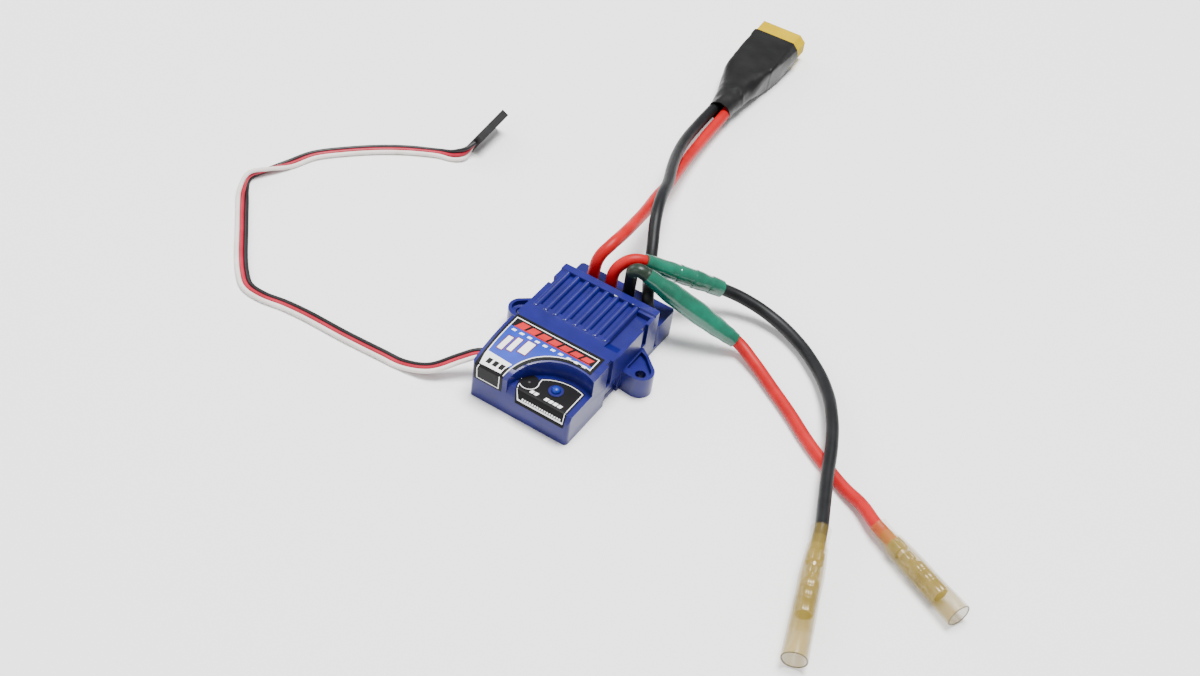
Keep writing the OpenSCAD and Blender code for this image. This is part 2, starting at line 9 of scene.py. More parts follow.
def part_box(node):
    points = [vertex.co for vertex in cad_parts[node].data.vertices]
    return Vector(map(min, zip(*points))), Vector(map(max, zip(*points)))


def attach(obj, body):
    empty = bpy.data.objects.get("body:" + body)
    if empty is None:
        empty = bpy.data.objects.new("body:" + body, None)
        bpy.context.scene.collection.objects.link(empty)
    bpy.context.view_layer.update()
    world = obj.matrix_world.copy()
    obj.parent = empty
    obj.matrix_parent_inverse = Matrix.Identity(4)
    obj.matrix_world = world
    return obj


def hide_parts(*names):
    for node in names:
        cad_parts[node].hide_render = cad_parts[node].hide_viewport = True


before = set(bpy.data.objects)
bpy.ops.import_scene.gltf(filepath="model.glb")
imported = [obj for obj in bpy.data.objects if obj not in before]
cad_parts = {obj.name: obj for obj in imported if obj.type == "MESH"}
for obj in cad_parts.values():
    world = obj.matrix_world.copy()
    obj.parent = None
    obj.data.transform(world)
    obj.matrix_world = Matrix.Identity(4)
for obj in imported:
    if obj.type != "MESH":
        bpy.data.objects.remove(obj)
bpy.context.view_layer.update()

MM = 0.001
FRONT_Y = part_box("upper_housing")[0].y  # the button end of the case; routes are measured from it
SCENE = bpy.context.scene


def at(x, y, z):
    """A point given in millimetres from the middle of the case's button end."""
    return Vector((x * MM, y * MM + FRONT_Y, z * MM))


# ---------------------------------------------------------------- camera

CAM_AZIMUTH, CAM_ELEVATION, CAM_ROLL = 25.9, 44.12, 9.06  # degrees
CAM_DISTANCE, CAM_SIDE, CAM_UP = 501.3, 22.3, 21.9  # mm
CAM_LENS, CAM_SENSOR = 56.1, 36.0


def photo_camera():
    """The camera, placed from its angles round the middle of the case's button end."""
    az, el, roll = (math.radians(v) for v in (CAM_AZIMUTH, CAM_ELEVATION, CAM_ROLL))
    back = Vector((math.sin(az) * math.cos(el), -math.cos(az) * math.cos(el), math.sin(el)))
    flat_right = Vector((math.cos(az), math.sin(az), 0))
    flat_up = back.cross(flat_right)
    right = math.cos(roll) * flat_right + math.sin(roll) * flat_up
    up = -math.sin(roll) * flat_right + math.cos(roll) * flat_up
    data = bpy.data.cameras.new("photo_camera")
    data.lens = CAM_LENS
    data.sensor_width = CAM_SENSOR
    data.sensor_fit = "HORIZONTAL"
    data.clip_start = 0.01
    camera = bpy.data.objects.new("photo_camera", data)
    place = back * CAM_DISTANCE + right * CAM_SIDE + up * CAM_UP
    turn = Matrix((right, up, back)).transposed().to_4x4()
    camera.matrix_world = Matrix.Translation(at(*place)) @ turn
    SCENE.collection.objects.link(camera)
    SCENE.camera = camera


photo_camera()


# ---------------------------------------------------------------- materials

def new_material(name):
    """A material with its nodes, its links and its main shader."""
    m = bpy.data.materials.new(name)
    m.use_nodes = True
    return m, m.node_tree.nodes, m.node_tree.links, m.node_tree.nodes["Principled BSDF"]


def object_coords(nodes):
    """Texture coordinates fixed to the piece, in metres."""
    return nodes.new("ShaderNodeTexCoord").outputs["Object"]


def noise_node(nodes, links, scale, detail=4.0, rough=0.55):
    """A noise value from 0 to 1."""
    n = nodes.new("ShaderNodeTexNoise")
    n.inputs["Scale"].default_value = scale
    n.inputs["Detail"].default_value = detail
    n.inputs["Roughness"].default_value = rough
    links.new(object_coords(nodes), n.inputs["Vector"])
    return n.outputs["Fac"]


def ramp(nodes, links, source, low, high, start=0.35, stop=0.65):
    """A colour between low and high, driven by source."""
    r = nodes.new("ShaderNodeValToRGB")
    r.color_ramp.elements[0].position = start
    r.color_ramp.elements[1].position = stop
    r.color_ramp.elements[0].color = (*low, 1)
    r.color_ramp.elements[1].color = (*high, 1)
    links.new(source, r.inputs["Fac"])
    return r.outputs["Color"]


def add_bump(nodes, links, shader, height, strength, distance):
    """Fine relief from a height value; distance is in metres."""
    b = nodes.new("ShaderNodeBump")
    b.inputs["Strength"].default_value = strength
    b.inputs["Distance"].default_value = distance
    links.new(height, b.inputs["Height"])
    links.new(b.outputs["Normal"], shader.inputs["Normal"])


PATCH_SCALE = 140.0  # colour patches, in cycles per metre
GLOSS_SCALE = PATCH_SCALE * 2.7
COAT_ROUGHNESS = 0.12
VINYL_IOR, VINYL_SHADE = 1.45, 0.82


def surface(name, low, high, rough=(0.3, 0.45), grain=900.0, bump=0.15, depth=0.00002,
            metallic=0.0, coat=0.0, gloss_level=0.32):
    """A moulded, coated or metal surface: colour and gloss drift in patches, with a fine grain."""
    m, nodes, links, shader = new_material(name)
    links.new(ramp(nodes, links, noise_node(nodes, links, PATCH_SCALE), low, high),
              shader.inputs["Base Color"])
    gloss = nodes.new("ShaderNodeMapRange")
    gloss.inputs["To Min"].default_value, gloss.inputs["To Max"].default_value = rough
    links.new(noise_node(nodes, links, GLOSS_SCALE, 6.0), gloss.inputs["Value"])
    links.new(gloss.outputs["Result"], shader.inputs["Roughness"])
    shader.inputs["Metallic"].default_value = metallic
    shader.inputs["Specular IOR Level"].default_value = gloss_level
    shader.inputs["Coat Weight"].default_value = coat
    shader.inputs["Coat Roughness"].default_value = COAT_ROUGHNESS
    add_bump(nodes, links, shader, noise_node(nodes, links, grain, 3.0), bump, depth)
    return m


def clear_plastic(name, colour, rough, alpha_mix):
    """Aged clear vinyl: tinted, lets the metal inside show, keeps sharp highlights."""
    m, nodes, links, shader = new_material(name)
    low = tuple(c * VINYL_SHADE for c in colour)
    links.new(ramp(nodes, links, noise_node(nodes, links, 210.0), low, colour),
              shader.inputs["Base Color"])
    shader.inputs["Roughness"].default_value = rough
    shader.inputs["IOR"].default_value = VINYL_IOR
    shader.inputs["Alpha"].default_value = alpha_mix
    shader.inputs["Specular IOR Level"].default_value = 0.3
    add_bump(nodes, links, shader, noise_node(nodes, links, 420.0, 3.0), 0.35, 0.0001)
    return m


MAT = {
    "blue": surface(
        "case_blue", (0.0045, 0.0045, 0.095), (0.006, 0.006, 0.125), (0.26, 0.38), 1500, 0.10,
        coat=0.15),
    "tray": surface(
        "tray_blue", (0.0045, 0.0045, 0.088), (0.006, 0.006, 0.118), (0.3, 0.42), 1500, 0.12),
    "button": surface(
        "button_blue", (0.004, 0.018, 0.22), (0.007, 0.026, 0.28), (0.28, 0.36), 900, 0.05),
    "black_film": surface(
        "film_black", (0.003, 0.003, 0.0035), (0.006, 0.006, 0.0065), (0.34, 0.44), 2200, 0.06,
        gloss_level=0.14),
    "white_ink": surface(
        "ink_white", (0.82, 0.82, 0.82), (0.9, 0.9, 0.9), (0.35, 0.45), 2200, 0.05),
    "blue_ink": surface(
        "ink_blue", (0.006, 0.028, 0.31), (0.01, 0.04, 0.40), (0.3, 0.4), 2200, 0.05),
    "red_ink": surface(
        "ink_red", (0.40, 0.006, 0.01), (0.52, 0.014, 0.018), (0.3, 0.4), 2200, 0.05),
    "maroon_ink": surface(
        "ink_maroon", (0.09, 0.003, 0.01), (0.14, 0.006, 0.02), (0.3, 0.4), 2200, 0.05),
    "rubber": surface(
        "seal_rubber", (0.004, 0.006, 0.03), (0.008, 0.011, 0.05), (0.5, 0.7), 1400, 0.3, 0.00004),
    "red_wire": surface(
        "silicone_red", (0.34, 0.002, 0.004), (0.44, 0.005, 0.008), (0.38, 0.5), 1300, 0.2,
        0.00003, gloss_level=0.2),
    "black_wire": surface(
        "silicone_black", (0.004, 0.0045, 0.005), (0.009, 0.0095, 0.011), (0.4, 0.52), 1300, 0.25,
        0.00003, gloss_level=0.2),
    "shrink": surface(
        "heat_shrink_black", (0.0035, 0.0035, 0.004), (0.008, 0.008, 0.0085), (0.32, 0.5), 420,
        0.4, 0.00008, coat=0.12, gloss_level=0.2),
    "yellow": surface(
        "connector_yellow", (0.40, 0.27, 0.0), (0.47, 0.32, 0.0), (0.5, 0.6), 1300, 0.15,
        gloss_level=0.06),
    "tape": surface(
        "tape_green", (0.0002, 0.070, 0.040), (0.0005, 0.125, 0.072), (0.16, 0.24), 200, 0.16,
        0.0001, coat=0.5, gloss_level=0.5),
    "tape_dark": surface(
        "tape_end_dark", (0.008, 0.016, 0.010), (0.014, 0.026, 0.017), (0.3, 0.4), 500, 0.3,
        0.00006),
    "gold": surface(
        "contact_gold", (0.6, 0.36, 0.1), (0.7, 0.44, 0.15), (0.22, 0.36), 1500, 0.15,
        metallic=1.0),
    "tin": surface(
        "tinned_metal", (0.16, 0.13, 0.09), (0.34, 0.30, 0.23), (0.25, 0.42), 900, 0.3,
        metallic=1.0),
    "copper": surface(
        "wire_strands", (0.5, 0.33, 0.22), (0.7, 0.6, 0.5), (0.3, 0.45), 2600, 0.6, metallic=1.0),
    "steel": surface(
        "screw_steel", (0.1, 0.1, 0.11), (0.17, 0.17, 0.18), (0.3, 0.45), 1300, 0.2, metallic=1.0),
    "aluminium": surface(
        "spreader_metal", (0.5, 0.51, 0.53), (0.62, 0.63, 0.65), (0.3, 0.42), 1600, 0.25,
        metallic=1.0),
    "pcb": surface(
        "board_green", (0.005, 0.055, 0.02), (0.008, 0.085, 0.03), (0.25, 0.4), 900, 0.2, coat=0.4),
    "chip": surface(
        "chip_black", (0.007, 0.007, 0.0075), (0.014, 0.014, 0.015), (0.5, 0.65), 2200, 0.3),
    "pad": surface(
        "thermal_grey", (0.26, 0.28, 0.32), (0.36, 0.38, 0.42), (0.6, 0.75), 1800, 0.3),
    "can": surface(
        "capacitor_sleeve", (0.015, 0.018, 0.05), (0.025, 0.03, 0.08), (0.25, 0.35), 900, 0.1,
        coat=0.3),
    "led": surface("led_body", (0.5, 0.48, 0.4), (0.6, 0.58, 0.5), (0.3, 0.4), 900, 0.1),
    # painted glints: light grey-blue for the two small discs on the rear bar
    "glint_mark": surface(
        "painted_glint_mark", (0.25, 0.27, 0.34), (0.4, 0.42, 0.48), (0.3, 0.4), 3000, 0.2),
    # painted glint: dark grey for the small disc on the light window
    "glint": surface(
        "painted_window_glint", (0.03, 0.03, 0.03), (0.09, 0.09, 0.09), (0.2, 0.3), 3000, 0.2),
    "strand_black": surface(
        "strand_black", (0.006, 0.005, 0.006), (0.012, 0.011, 0.012), (0.36, 0.5), 1500, 0.15),
    "strand_red": surface(
        "strand_red", (0.30, 0.004, 0.02), (0.40, 0.009, 0.035), (0.36, 0.5), 1500, 0.15),
    "strand_white": surface(
        "strand_white", (0.62, 0.57, 0.53), (0.74, 0.69, 0.65), (0.36, 0.5), 1500, 0.15),
    "plug": surface(
        "plug_black", (0.006, 0.006, 0.0065), (0.013, 0.013, 0.014), (0.38, 0.52), 1500, 0.3,
        0.00003),
    "vinyl": clear_plastic("aged_vinyl", (0.44, 0.31, 0.06), 0.14, 0.30),
    "vinyl_grip": clear_plastic("vinyl_at_grip", (0.44, 0.31, 0.06), 0.14, 0.13),
    "vinyl_edge": clear_plastic("vinyl_cut_edge", (0.10, 0.075, 0.02), 0.2, 0.85),
    "window": clear_plastic("smoked_window", (0.012, 0.012, 0.014), 0.16, 0.92),
}

NODE_FINISH = {
    "base_tray": "tray", "housing_gasket": "rubber", "wire_seal": "rubber",
    "signal_grommet": "rubber", "switch_plunger": "chip", "switch_body": "chip",
    "light_pipe": "window", "status_led": "led", "circuit_board": "pcb",
    "microcontroller": "chip", "gate_driver": "chip", "power_transistors": "chip",
    "thermal_pad": "pad", "heat_spreader": "aluminium", "filter_capacitors": "can",
    "voltage_regulator": "chip", "inductor": "chip", "crystal": "tin", "chip_resistors": "chip",
    "flyback_diode": "chip", "lead_pads": "tin", "signal_header": "tin", "case_screws": "steel",
    "battery_contacts": "gold", "splice_joint_front": "tin", "splice_joint_rear": "tin",
    "signal_contacts": "gold", "upper_housing": "blue", "main_label": "black_film",
    "control_label": "black_film", "set_button": "button", "battery_connector": "yellow",
    "signal_plug": "plug",
}


def finish_nodes():
    """Give each CAD piece listed in NODE_FINISH its finish."""
    for node, finish in NODE_FINISH.items():
        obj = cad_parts[node]
        obj.data.materials.clear()
        obj.data.materials.append(MAT[finish])


# ---------------------------------------------------------------- making pieces

def keep(name, data, slot, *nodes, body="root"):
    """Add a piece to the scene: its body and the CAD pieces it stands for. The slot argument is not
    used.
    """
    obj = bpy.data.objects.new(name, data)
    SCENE.collection.objects.link(obj)
    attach(obj, body)
    if nodes:
        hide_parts(*nodes)
    return obj


def smooth(mesh, angle=35.0):
    """Smooth shading, sharp where faces meet at more than angle degrees."""
    mesh.shade_smooth()
    mesh.set_sharp_from_angle(angle=math.radians(angle))


def mesh_from(name, verts, faces, materials, indices=None, angle=35.0):
    """A smooth-shaded mesh; indices name the material of each face."""
    mesh = bpy.data.meshes.new(name)
    mesh.from_pydata([tuple(v) for v in verts], [], faces)
    for m in materials:
        mesh.materials.append(m)
    if indices:
        mesh.polygons.foreach_set("material_index", indices)
    mesh.validate()
    smooth(mesh, angle)
    return mesh


def catmull(points, per):
    """A smooth line through the points, with per steps between each two."""
    out = []
    last = len(points) - 1
    for i in range(last):
        p0, p1, p2, p3 = points[max(i - 1, 0)], points[i], points[i + 1], points[min(i + 2, last)]
        for k in range(per):
            t = k / per
            out.append(0.5 * (2 * p1 + (p2 - p0) * t + (2 * p0 - 5 * p1 + 4 * p2 - p3) * t ** 2
                              + (3 * p1 - p0 - 3 * p2 + p3) * t ** 3))
    return out + [points[-1]]


def line_length(points):
    """Length of a line of points."""
    return sum((b - a).length for a, b in zip(points, points[1:]))


def frames_along(points, side):
    """A tangent and two cross directions at every point."""
    out = []
    for i, p in enumerate(points):
        t = (points[min(i + 1, len(points) - 1)] - points[max(i - 1, 0)]).normalized()
        u = t.cross(side).normalized()
        out.append((p, t, u, t.cross(u)))
    return out


def loft(rings, closed=True):
    """Quads between rings of equal size, with the two ends filled."""
    size = len(rings[0])
    verts = [v for ring in rings for v in ring]
    faces = []
    for i in range(len(rings) - 1):
        for k in range(size):
            near, far, turn = i * size, (i + 1) * size, (k + 1) % size
            faces.append((near + k, near + turn, far + turn, far + k))
    if closed:
        faces.append(tuple(range(size - 1, -1, -1)))
        faces.append(tuple((len(rings) - 1) * size + k for k in range(size)))
    return verts, faces


def outward(mesh):
    """Turn every face outward."""
    bm = bmesh.new()
    bm.from_mesh(mesh)
    bmesh.ops.recalc_face_normals(bm, faces=bm.faces)
    bm.to_mesh(mesh)
    bm.free()


# ---------------------------------------------------------------- leads

LEAD_D, EXTENSION_D, RIBBON_W, STRAND_R = 3.5, 3.6, 3.9, 0.66
TAPE_FRONT = (Vector((6.5, 50.4, 21.1)), Vector((33.5, 59.5, 4.8)))
TAPE_REAR = (Vector((3.5, 56, 19.8)), Vector((21.5, 71.5, 8.8)))
FRONT_SPLICE, REAR_SPLICE = (0.5, 0.74), (0.36, 0.62)
SLEEVE_LEFT = (Vector((85.6, 11.4, 7)), Vector((98.6, -26.8, 3.6)))
SLEEVE_RIGHT = (Vector((96.3, 24.1, 3.6)), Vector((126, 10.4, 3.6)))
CRIMP_AT = 0.2
BOOT = (Vector((-22, 148, 5)), Vector((-24.6, 191, 5)))


def on(ends, share):
    """The point at a share of the way between two ends."""
    return tuple(ends[0].lerp(ends[1], share))


BATTERY_RED = [
    (-8.7, 49.9, 5.6), (-8.7, 49.9, 14), (-8.2, 51, 18.5), (-7, 54.5, 21), (-7, 61, 20.5),
    (-8, 69, 18.5), (-9.5, 79, 16), (-11.5, 89, 13.5), (-13, 98, 11), (-15, 108, 8.5),
    (-17, 118, 6.5), (-18.5, 128, 5), (-19.5, 138, 4.5), (-20, 147.7, 4.6), (-20.2, 151.5, 4.7)]
BATTERY_BLACK = [
    (9.4, 49.9, 5.6), (9.4, 49.9, 11), (9, 50.3, 12.6), (7.8, 52.2, 13.6), (6.2, 55, 13.7),
    (4.2, 59, 13.2), (2.8, 61.6, 14), (1.7, 63.6, 15.6), (0, 66.8, 17.5), (-2, 70.5, 19),
    (-3.9, 74.5, 20.6), (-6.4, 81, 21), (-10, 92, 18), (-14.5, 103, 14.5), (-18.5, 114, 11),
    (-21.5, 125, 8), (-23.2, 136, 6), (-24, 147.7, 5.2), (-24.1, 151.5, 5.1)]
MOTOR_RED = [
    (-2.8, 49.9, 5.6), (-2.8, 49.9, 13.5), (-2.5, 50.4, 16.8), (-1.2, 51.8, 19.2),
    (0.5, 53.4, 20.4), on(TAPE_REAR, -0.05), on(TAPE_REAR, 0.05), on(TAPE_REAR, 0.15),
    on(TAPE_REAR, REAR_SPLICE[0])]
MOTOR_BLACK = [
    (3, 49.9, 5.6), (3, 49.9, 14), (3.2, 49.5, 18), (3.3, 49.3, 19.8), (3.7, 49.4, 21),
    (4.8, 49.8, 21.6), (6, 50.2, 21.4), on(TAPE_FRONT, 0.05), on(TAPE_FRONT, 0.15),
    on(TAPE_FRONT, FRONT_SPLICE[0])]
EXTENSION_RED = [
    on(TAPE_FRONT, FRONT_SPLICE[1]), on(TAPE_FRONT, 0.9), on(TAPE_FRONT, 1.03), (41, 57.5, 2.6),
    (50, 52.3, 1.9), (59, 46.6, 1.8), (67, 41, 1.8), (75, 36.2, 1.8), (83, 31.8, 2),
    (89.5, 28.8, 2.8), on(SLEEVE_RIGHT, 0), on(SLEEVE_RIGHT, 0.06), on(SLEEVE_RIGHT, CRIMP_AT)]
EXTENSION_BLACK = [
    on(TAPE_REAR, REAR_SPLICE[1]), on(TAPE_REAR, 0.9), on(TAPE_REAR, 1.03), (28.5, 74.6, 6.2),
    (37, 75.3, 4), (46, 72.8, 3), (55, 67.3, 3), (63, 59.5, 3.8), (69.3, 50, 5.2),
    (73.8, 41, 5.6), (78.3, 29.5, 5.8), (82.6, 18.9, 6.4), on(SLEEVE_LEFT, 0),
    on(SLEEVE_LEFT, 0.06), on(SLEEVE_LEFT, CRIMP_AT)]
RIBBON = [
    (-15.2, 9, 7.4), (-17.2, 8.8, 7.4), (-19.5, 7.2, 7), (-22.5, 4.2, 5.6), (-28, -1, 2.8),
    (-35.5, -3, 0.9), (-43, -3.5, 0.8), (-55, -4.1, 0.8), (-67, -4.2, 0.8), (-75, -4.8, 0.8),
    (-82, -6, 0.8), (-88, -5.4, 0.8), (-93, -1.5, 0.8), (-98, 4, 0.8), (-104.5, 12, 0.8),
    (-111, 20, 0.8), (-115.5, 26, 1.2), (-117.3, 31, 2), (-115.5, 37, 1.4), (-112.5, 44, 0.8),
    (-109.5, 52, 0.8), (-103, 60, 0.8), (-96, 67, 0.8), (-89, 72.5, 0.8), (-81.5, 77, 0.8),
    (-77, 78.4, 1.3), (-74, 80.4, 2.6), (-73.5, 84.4, 3.85)]
RIBBON_TURN = [0] * 16 + [45, 90, 135] + [180] * 6 + [210, 255, 300]


def lead(name, route, diameter, finish, slot, node):
    """A round silicone lead: one open curve through the route."""
    curve = bpy.data.curves.new(name, "CURVE")
    curve.dimensions = "3D"
    curve.bevel_depth = diameter * MM / 2
    curve.bevel_resolution = 7
    curve.resolution_u = 10
    curve.use_fill_caps = True
    spline = curve.splines.new("BEZIER")
    spline.bezier_points.add(len(route) - 1)
    for knot, place in zip(spline.bezier_points, route):
        knot.co = at(*place)
        knot.handle_left_type = knot.handle_right_type = "AUTO"
    curve.materials.append(MAT[finish])
    return keep(name, curve, slot, node)


def strand_offsets():
    """Middle of each strand across the ribbon: black inside the loop, white outside it."""
    step = RIBBON_W / 2 - STRAND_R
    return [("strand_black", step), ("strand_red", 0.0), ("strand_white", -step)]


def make_ribbon():
    """Three round strands side by side, turned about the route's own line."""
    per, sides = 6, 10
    points = catmull([at(*p) for p in RIBBON], per)
    turns = catmull([Vector((t, 0, 0)) for t in RIBBON_TURN], per)
    verts, faces, indices = [], [], []
    for index, (_, offset) in enumerate(strand_offsets()):
        rings = []
        for (p, _, u, v), turn in zip(frames_along(points, Vector((0, 0, 1))), turns):
            a = math.radians(turn.x)
            wide = math.cos(a) * u + math.sin(a) * v
            thin = -math.sin(a) * u + math.cos(a) * v
            middle = p + wide * offset * MM
            rings.append([
                middle + (wide * math.cos(b) + thin * math.sin(b)) * STRAND_R * MM
                for b in (2 * math.pi * k / sides for k in range(sides))])
        more, quads = loft(rings)
        faces += [tuple(k + len(verts) for k in q) for q in quads]
        verts += more
        indices += [index] * len(quads)
    mesh = mesh_from("signal_ribbon_strands", verts, faces, [MAT[n] for n, _ in strand_offsets()],
                     indices, 60)
    outward(mesh)
    ribbon = keep("signal_ribbon_strands", mesh, "ribbon_pvc", "signal_ribbon")


# ---------------------------------------------------------------- pieces on the leads

def axis_frame(ends, side=Vector((0, 0, 1))):
    """Both ends in metres, the direction between them and two cross directions."""
    a, b = at(*ends[0]), at(*ends[1])
    t = (b - a).normalized()
    u = t.cross(side).normalized()
    return a, b, t, u, u.cross(t)


def ring_at(centre, u, v, radii):
    """A closed ring round centre in the plane of u and v, one radius (in metres) per point."""
    count = len(radii)
    return [
        centre + (u * math.cos(2 * math.pi * k / count)
                  + v * math.sin(2 * math.pi * k / count)) * radii[k]
        for k in range(count)]


TAPE_FRONT_LINE = [
    (3.3, 49.3, 20), (3.7, 49.4, 21), (4.8, 49.8, 21.6), (6, 50.2, 21.4), on(TAPE_FRONT, 0.08),
    on(TAPE_FRONT, 0.35), on(TAPE_FRONT, 0.7), on(TAPE_FRONT, 1)]
TAPE_REAR_LINE = [on(TAPE_REAR, 0), on(TAPE_REAR, 0.35), on(TAPE_REAR, 0.7), on(TAPE_REAR, 1)]


def resample(points, count):
    """The same line cut into equal steps."""
    total, out, i, gone = line_length(points), [points[0]], 0, 0.0
    for k in range(1, count):
        want = total * k / count
        while gone + (points[i + 1] - points[i]).length < want:
            gone += (points[i + 1] - points[i]).length
            i += 1
        a, b = points[i], points[i + 1]
        out.append(a.lerp(b, (want - gone) / (b - a).length))
    return out + [points[-1]]


def tape_radius(s, profile):
    """Radius at share s of the tape's length, eased between the profile's points."""
    for (s0, r0), (s1, r1) in zip(profile, profile[1:]):
        if s <= s1:
            t = (s - s0) / (s1 - s0)
            return r0 + (r1 - r0) * t * t * (3 - 2 * t)
    return profile[-1][1]


TUBE_SIDES = 48
TAPE_STEPS, TAPE_BORE_R = 130, 1.82
TAPE_SIDE = Vector((0.316, -0.949, 0))  # level and across both tapes, where the rings start


def make_tape(name, line, profile, layers, node, seed, dark_to):
    """Stretched tape wound over a splice: a bulging, slightly uneven spindle with layer edges."""
    count, steps = TUBE_SIDES, TAPE_STEPS
    points = resample(catmull([at(*p) for p in line], 10), steps)
    frames = frames_along(points, TAPE_SIDE)
    rings = []
    for i, (p, _, u, v) in enumerate(frames):
        s = i / steps
        radii = []
        for k in range(count):
            angle = 2 * math.pi * k / count
            r = tape_radius(s, profile)
            for start, height in layers:
                edge = start + 0.02 * math.sin(angle + seed)
                edge += 0.006 * math.sin(5 * angle + 3 * seed)
                r += height * max(0.0, min(1.0, (s - edge) * steps * 0.7))
            ripple = Vector((s * 7, 1.1 * math.cos(angle), 1.1 * math.sin(angle) + seed))
            r += 0.13 * noise.noise(ripple) + 0.03 * noise.noise(ripple * 2.3)
            radii.append(r * MM)
        rings.append(ring_at(p, u, v, radii))
    bore = [ring_at(p, u, v, [TAPE_BORE_R * MM] * count) for p, _, u, v in frames[::10]]
    verts, faces = loft([bore[0]] + rings + bore[::-1], closed=False)
    indices = [1 if f[0] // count < dark_to * steps else 0 for f in faces]
    mesh = mesh_from(name, verts, faces, [MAT["tape"], MAT["tape_dark"]], indices, 50)
    weld(mesh)
    return keep(name, mesh, "green_tape", node)


def weld(mesh, distance=0.000002):
    """Join the seams of a loft that closes on itself, with its faces turned outward."""
    bm = bmesh.new()
    bm.from_mesh(mesh)
    bmesh.ops.remove_doubles(bm, verts=bm.verts, dist=distance)
    bmesh.ops.recalc_face_normals(bm, faces=bm.faces)
    bm.to_mesh(mesh)
    bm.free()


WOBBLE_TURN = 6.283  # once round the tube, in radians


def tube_of_profile(name, ends, profile, count, materials, wobble=0.0, seed=0.0, picks=None):
    """A closed lathe form: profile is a loop of (distance in mm, radius in mm) along the axis."""
    a, _, t, u, v = axis_frame(ends)
    rings = []
    for s, r in profile:
        radii = []
        for k in range(count):
            turn = WOBBLE_TURN * k / count
            place = Vector((s * 0.22, math.cos(turn), math.sin(turn) + seed))
            radii.append((r + wobble * noise.noise(place)) * MM)
        rings.append(ring_at(a + t * s * MM, u, v, radii))
    verts, faces = loft(rings + [rings[0]], closed=False)
    mesh = mesh_from(name, verts, faces, materials, picks, 40)
    weld(mesh)
    return mesh


GRIP_END, BODY_START = 6.4, 12  # along the sleeve, mm


def make_sleeve(name, ends, node, seed):
    """Clear vinyl sleeve: slim grip on the lead, a step over the crimp, open at the far end."""
    length = (ends[1] - ends[0]).length
    body = length - BODY_START

    def along(share):
        return BODY_START + body * share

    # (distance along the sleeve, radius), out along the outside and back along the bore
    outer = [
        (0, 2.55), (0.25, 2.8), (0.6, 2.72), (3, 2.62), (6.2, 2.7), (6.6, 2.95), (7.0, 2.9),
        (9.4, 2.95), (11.5, 3.1), (along(0.15), 3.3), (along(0.35), 3.2), (along(0.55), 3.35),
        (along(0.8), 3.42), (length - 0.5, 3.5), (length - 0.1, 3.44), (length, 3.3)]
    inner = [
        (length, 3.1), (length - 0.2, 3.0), (along(0.8), 2.98), (along(0.35), 2.8), (11.5, 2.6),
        (9, 2.45), (GRIP_END, 2.4), (3, 1.95), (0, 1.9)]
    edge = range(len(outer) - 2, len(outer) + 1)
    picks = []
    for i, (s, _) in enumerate(outer + inner):
        picks += [1 if i in edge else 2 if s < GRIP_END else 0] * TUBE_SIDES
    finishes = [MAT["vinyl"], MAT["vinyl_edge"], MAT["vinyl_grip"]]
    mesh = tube_of_profile(name, ends, outer + inner, TUBE_SIDES, finishes, 0.16, seed, picks)
    return keep(name, mesh, "clear_vinyl", node)


def make_receptacle(name, ends, node):
    """Open-barrel crimp: folded insulation grip, bare strands, conductor crimp, rolled socket."""
    tail = (ends[0].lerp(ends[1], CRIMP_AT), ends[1])
    a, _, t, u, v = axis_frame(tail)
    count = TUBE_SIDES
    # distance along the crimp, radius, depth of the fold or seam on top
    outline = [
        (0.05, 1.78, 0), (0.1, 2.2, 0.6), (1.2, 2.28, 0.8), (2.6, 2.25, 0.8), (3.2, 2.2, 0.6),
        (3.25, 1.3, 0), (4.6, 1.25, 0.1), (4.65, 1.85, 0.5), (5.4, 1.9, 0.7), (6.6, 1.88, 0.7),
        (7.1, 1.8, 0.4), (7.6, 1.35, 0.2), (8.6, 2.05, 0.3), (9.0, 2.38, 0.25), (11.0, 2.4, 0.25),
        (11.1, 2.3, 0.25), (11.8, 2.3, 0.25), (11.9, 2.4, 0.25), (14.6, 2.4, 0.25),
        (14.7, 2.28, 0.25), (15.3, 2.28, 0.25), (15.4, 2.4, 0.25), (18.5, 2.4, 0.25),
        (18.9, 2.3, 0.2), (18.95, 1.98, 0), (9.8, 1.98, 0), (9.6, 0.02, 0)]
    rings = [ring_at(a + t * 0.05 * MM, u, v, [0.02 * MM] * count)]
    for s, r, fold in outline:
        radii = []
        for k in range(count):
            angle = 2 * math.pi * k / count
            seam = math.exp(-((angle - math.pi / 2) / 0.20) ** 2)
            lobes = math.exp(-((abs(angle - math.pi / 2) - 0.45) / 0.28) ** 2)
            radii.append((r - fold * seam * 0.8 + min(fold, 0.6) * 0.3 * lobes) * MM)
        rings.append(ring_at(a + t * s * MM, u, v, radii))
    verts, faces = loft(rings)
    bare = (6, 7)  # the rings between which the lead's strands show
    strands = [1 if f[0] // count in bare else 0 for f in faces]
    mesh = mesh_from(name, verts, faces, [MAT["tin"], MAT["copper"]], strands, 50)
    outward(mesh)
    return keep(name, mesh, "tinned_metal", node)


def rounded_section(half_a, half_b, corner, count):
    """Points round a rectangle with superellipse corners, half sizes in mm."""
    power = 2.0 / corner
    out = []
    for k in range(count):
        angle = 2 * math.pi * k / count
        c, s = math.cos(angle), math.sin(angle)
        out.append((half_a * math.copysign(abs(c) ** power, c),
                    half_b * math.copysign(abs(s) ** power, s)))
    return out


def ease(t):
    """Smooth step from 0 to 1."""
    t = max(0.0, min(1.0, t))
    return t * t * (3 - 2 * t)


BOOT_SIDES, BOOT_STEPS = 72, 110
MOUTH_HALF, FLARE, MOUTH_HALF_Z, FLARE_Z = 4.1, 4.6, 3.9, 0.8  # half sizes and their growth, mm
MOUTH_DEPTH = 4  # how far the mouth is hollow, mm


